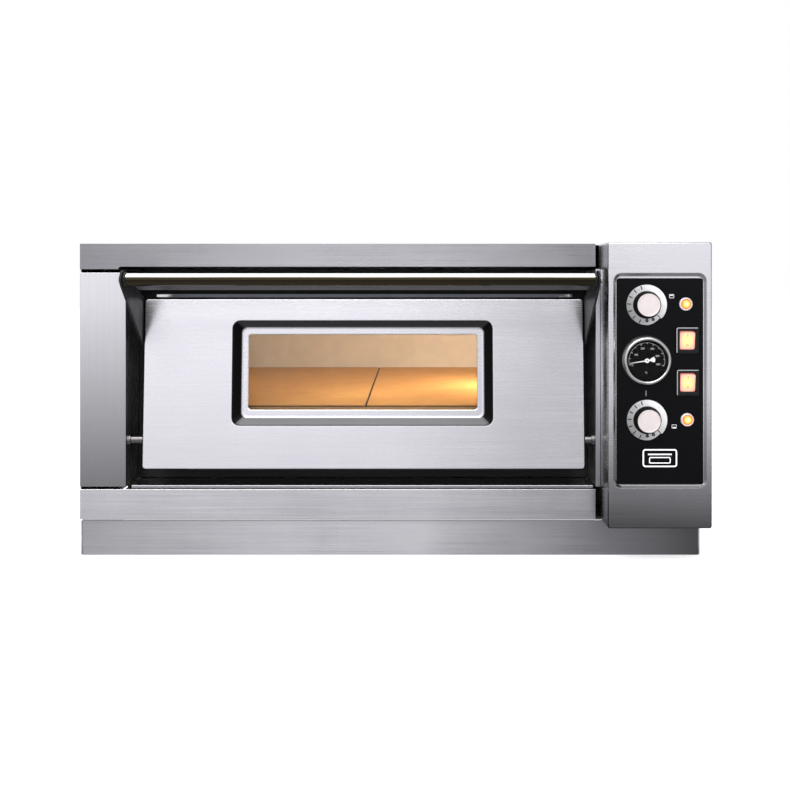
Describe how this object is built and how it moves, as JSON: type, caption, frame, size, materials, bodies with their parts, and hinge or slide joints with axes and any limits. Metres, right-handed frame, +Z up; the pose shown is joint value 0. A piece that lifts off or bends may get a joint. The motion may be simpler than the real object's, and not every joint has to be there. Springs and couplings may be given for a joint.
{
  "type": "deck oven",
  "caption": "Single-deck electric bakery oven in brushed steel: drop-down window door, stone floor, side control box with knobs, thermometer, lamps and rocker switches.",
  "frame": {"origin": "on the floor, under the middle of the oven's bounding box", "axes": "+X to the right seen from the front, +Y to the rear, +Z up"},
  "size_m": [0.895, 0.8477, 0.45],
  "materials": {
    "casing_steel": "fine horizontal grain",
    "inner_steel": "aluminised sheet, heat stained",
    "polished_steel": "polished",
    "arm_steel": "dark satin",
    "heater_steel": "oxidised",
    "mineral_wool": "fibrous",
    "oven_stone": "matt, fine grained",
    "clear_glass": "clear",
    "lamp_glass": "frosted, lit",
    "amber_plastic": "translucent, lit from inside",
    "dial_silver": "satin with black scale",
    "white_paint": "matt",
    "thermostat_body": "moulded",
    "black_plastic": "satin"
  },
  "bodies": {
    "casing": {"back_panel": "casing_steel", "base_pan": "inner_steel", "cable_gland": "black_plastic", "ceiling_heater": "heater_steel", "chamber_back_wall": "inner_steel", "chamber_ceiling": "inner_steel", "chamber_floor": "inner_steel", "chamber_lamp": "lamp_glass", "chamber_left_wall": "inner_steel", "chamber_right_wall": "inner_steel", "control_box_shell": "casing_steel", "control_overlay": "black_plastic", "door_sill": "polished_steel", "electrics_divider": "inner_steel", "floor_heater": "heater_steel", "hinge_pin_left": "polished_steel", "hinge_pin_right": "polished_steel", "insulation_back": "mineral_wool", "insulation_floor": "mineral_wool", "insulation_left": "mineral_wool", "insulation_right": "mineral_wool", "insulation_top": "mineral_wool", "left_pillar": "casing_steel", "left_side_panel": "casing_steel", "lower_fascia": "casing_steel", "mouth_frame": "inner_steel", "pilot_lamp_floor": "amber_plastic", "pilot_lamp_top": "amber_plastic", "plinth_back": "casing_steel", "plinth_front": "casing_steel", "plinth_left": "casing_steel", "plinth_right": "casing_steel", "right_jamb": "casing_steel", "right_side_panel": "casing_steel", "stone_slab_left": "oven_stone", "stone_slab_right": "oven_stone", "switch_frame_lower": "black_plastic", "switch_frame_upper": "black_plastic", "thermometer_case": "polished_steel", "thermometer_dial": "black_plastic", "thermometer_glass": "clear_glass", "thermostat_floor": "thermostat_body", "thermostat_top": "thermostat_body", "top_cover": "casing_steel", "top_fascia": "casing_steel"},
    "door": {"door_skin": "casing_steel", "door_inner_panel": "inner_steel", "door_insulation": "mineral_wool", "window_glass_outer": "clear_glass", "window_glass_inner": "clear_glass", "handle_bar": "polished_steel", "handle_arm_left": "arm_steel", "handle_arm_right": "arm_steel"},
    "knob_top": {"knob_grip_top": "black_plastic", "knob_dial_top": "dial_silver"},
    "knob_floor": {"knob_grip_floor": "black_plastic", "knob_dial_floor": "dial_silver"},
    "needle": {"thermometer_needle": "white_paint"},
    "rocker_upper": {"switch_rocker_upper": "amber_plastic"},
    "rocker_lower": {"switch_rocker_lower": "amber_plastic"}
  },
  "joints": [
    {"name": "door_hinge", "type": "hinge", "parent": "casing", "child": "door", "pos_m": [-0.0385, -0.3195, 0.1655], "axis": [1, 0, 0], "range_deg": [0, 85]},
    {"name": "knob_top_turn", "type": "hinge", "parent": "casing", "child": "knob_top", "pos_m": [0.3567, -0.3786, 0.3629], "axis": [0, 1, 0], "range_deg": [0, 200]},
    {"name": "knob_floor_turn", "type": "hinge", "parent": "casing", "child": "knob_floor", "pos_m": [0.3572, -0.3786, 0.2031], "axis": [0, 1, 0], "range_deg": [0, 200]},
    {"name": "needle_swing", "type": "hinge", "parent": "casing", "child": "needle", "pos_m": [0.357, -0.3786, 0.2855], "axis": [0, 1, 0], "range_deg": [0, 207]},
    {"name": "rocker_upper_rock", "type": "hinge", "parent": "casing", "child": "rocker_upper", "pos_m": [0.4137, -0.3746, 0.3135], "axis": [1, 0, 0], "range_deg": [-14, 0]},
    {"name": "rocker_lower_rock", "type": "hinge", "parent": "casing", "child": "rocker_lower", "pos_m": [0.4143, -0.3746, 0.2549], "axis": [1, 0, 0], "range_deg": [-14, 0]}
  ]
}
